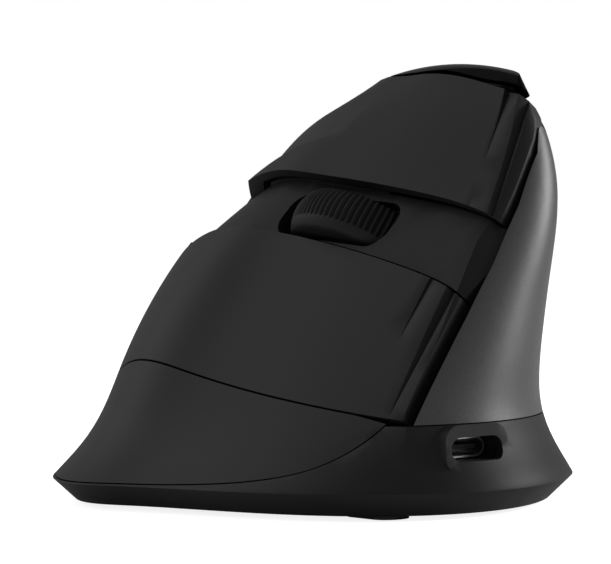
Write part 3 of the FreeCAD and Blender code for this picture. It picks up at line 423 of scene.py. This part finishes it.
def make_tyre():
    tyre = bmesh.new()
    rib_grid(tyre)
    bmesh.ops.spin(
        tyre, geom=tyre.verts[:] + tyre.edges[:] + tyre.faces[:], cent=(0, 0, 0), axis=(0, 1, 0),
        steps=rib_count - 1, angle=2 * math.pi * (rib_count - 1) / rib_count, use_duplicate=True,
    )
    bmesh.ops.remove_doubles(tyre, verts=tyre.verts, dist=rib_join_distance)
    rims = [edge for edge in tyre.edges if edge.is_boundary]
    inner = bmesh.ops.extrude_edge_only(tyre, edges=rims)["geom"]
    inner_verts = [item for item in inner if isinstance(item, bmesh.types.BMVert)]
    for vert in inner_verts:
        flat = Vector((vert.co.x, 0, vert.co.z)).normalized() * hub_radius
        vert.co = Vector((flat.x, vert.co.y, flat.z))
    loops = [edge for edge in tyre.edges if edge.is_boundary]
    bmesh.ops.bridge_loops(tyre, edges=loops)
    bmesh.ops.recalc_face_normals(tyre, faces=tyre.faces)
    bmesh.ops.transform(tyre, matrix=wheel_place(), verts=tyre.verts)
    mesh = bpy.data.meshes.new("ribbed_tyre")
    tyre.to_mesh(mesh)
    tyre.free()
    mesh.materials.append(rubber)
    mesh.shade_smooth()
    mesh.set_sharp_from_angle(angle=tyre_sharp_turn)
    piece = bpy.data.objects.new("ribbed_tyre", mesh)
    bpy.context.scene.collection.objects.link(piece)
    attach(piece, nodes["wheel_tyre"]["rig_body"])
    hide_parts("wheel_tyre")
    return piece


tyre = make_tyre()
print("tyre faces:", len(tyre.data.polygons))

# %% [markdown]
# The floor is a plain pale sheet. Seen directly it shows as white, and it still
# takes the mouse's soft shadow.

# %% Floor
floor_half_width = 3.0
floor_colour = (0.9, 0.9, 0.9, 1.0)
floor_glow = 0.85


def floor_material():
    material = bpy.data.materials.new("pale floor")
    material.use_nodes = True
    tree = material.node_tree
    shader = tree.nodes["Principled BSDF"]
    shader.inputs["Base Color"].default_value = floor_colour
    shader.inputs["Roughness"].default_value = 0.9
    shader.inputs["Specular IOR Level"].default_value = 0.1
    path = tree.nodes.new("ShaderNodeLightPath")
    glow = add_node(tree, "ShaderNodeMath", operation="MULTIPLY")
    glow.inputs[1].default_value = floor_glow
    tree.links.new(path.outputs["Is Camera Ray"], glow.inputs[0])
    tree.links.new(glow.outputs[0], shader.inputs["Emission Strength"])
    shader.inputs["Emission Color"].default_value = (1.0, 1.0, 1.0, 1.0)
    return material


def make_floor():
    sheet = bmesh.new()
    bmesh.ops.create_grid(sheet, x_segments=1, y_segments=1, size=floor_half_width)
    mesh = bpy.data.meshes.new("floor")
    sheet.to_mesh(mesh)
    sheet.free()
    mesh.materials.append(floor_material())
    floor = bpy.data.objects.new("floor", mesh)
    bpy.context.scene.collection.objects.link(floor)
    return floor


floor = make_floor()
print("floor:", floor.name)

# %% [markdown]
# Light. A large soft lamp behind the finger side gives its slope an even sheen
# that fades to the nose, one at the right lights the silver side, a weak one at
# the left lifts the shelf, and the pale world fills what they leave. The world
# is white where the camera sees it, and dimmer as a light.

# %% Lamps and world
room_light_level = 0.26
body_middle = (0.0, 0.0, 35 * mm)
lamps = [
    ("back lamp", (-0.32, 0.55, 0.45), 0.6, 1.1),
    ("right lamp", (0.72, -0.44, 0.35), 0.5, 6.6),
    ("left lamp", (-0.75, 0.2, 0.2), 0.5, 0.3),
]


def world_light():
    world = bpy.data.worlds.new("pale room")
    bpy.context.scene.world = world
    world.use_nodes = True
    tree = world.node_tree
    background = tree.nodes["Background"]
    path = tree.nodes.new("ShaderNodeLightPath")
    seen = add_node(tree, "ShaderNodeMath", operation="MAXIMUM")
    level = add_node(tree, "ShaderNodeMapRange")
    level.inputs["To Min"].default_value = room_light_level
    level.inputs["To Max"].default_value = 1.0
    link = tree.links.new
    link(path.outputs["Is Camera Ray"], seen.inputs[0])
    link(path.outputs["Is Transmission Ray"], seen.inputs[1])
    link(seen.outputs[0], level.inputs["Value"])
    link(level.outputs["Result"], background.inputs["Strength"])
    background.inputs["Color"].default_value = (1.0, 1.0, 1.0, 1.0)


def soft_lamp(name, place, size, power):
    """A square area lamp at a place, facing the middle of the body."""
    data = bpy.data.lights.new(name, "AREA")
    data.shape = "SQUARE"
    data.size = size
    data.energy = power
    lamp = bpy.data.objects.new(name, data)
    lamp.location = place
    lamp.rotation_mode = "QUATERNION"
    lamp.rotation_quaternion = (Vector(body_middle) - Vector(place)).to_track_quat("-Z", "Y")
    bpy.context.scene.collection.objects.link(lamp)


world_light()
for name, place, size, power in lamps:
    soft_lamp(name, place, size, power)
print("lamps:", [lamp[0] for lamp in lamps])

# %% [markdown]
# Camera. The view is from low down, past the nose and from the finger side,
# through a long lens, and the picture is turned a little.

# %% Camera
view_turn = math.radians(35.0)
view_height = math.radians(1.9)
view_roll = math.radians(-1.7)
view_distance = 0.6
view_target = Vector((2.1598, 0.6125, 35.5)) * mm
focal_pixels = 3612.0
picture_width = 611.0
sensor_width = 36.0


def make_camera():
    data = bpy.data.cameras.new("camera")
    data.sensor_width = sensor_width
    data.lens = focal_pixels / picture_width * sensor_width
    data.clip_start, data.clip_end = 0.05, 20.0
    camera = bpy.data.objects.new("camera", data)
    bpy.context.scene.collection.objects.link(camera)
    back = Vector((
        -math.sin(view_turn) * math.cos(view_height),
        -math.cos(view_turn) * math.cos(view_height),
        math.sin(view_height),
    ))
    level = (-back).to_track_quat("-Z", "Y").to_matrix().to_4x4()
    place = Matrix.Translation(view_target + back * view_distance)
    camera.matrix_world = place @ level @ Matrix.Rotation(view_roll, 4, "Z")
    bpy.context.scene.camera = camera
    return camera


camera = make_camera()
bpy.context.scene.view_settings.view_transform = "Standard"
print("lens:", round(camera.data.lens, 1), "mm")
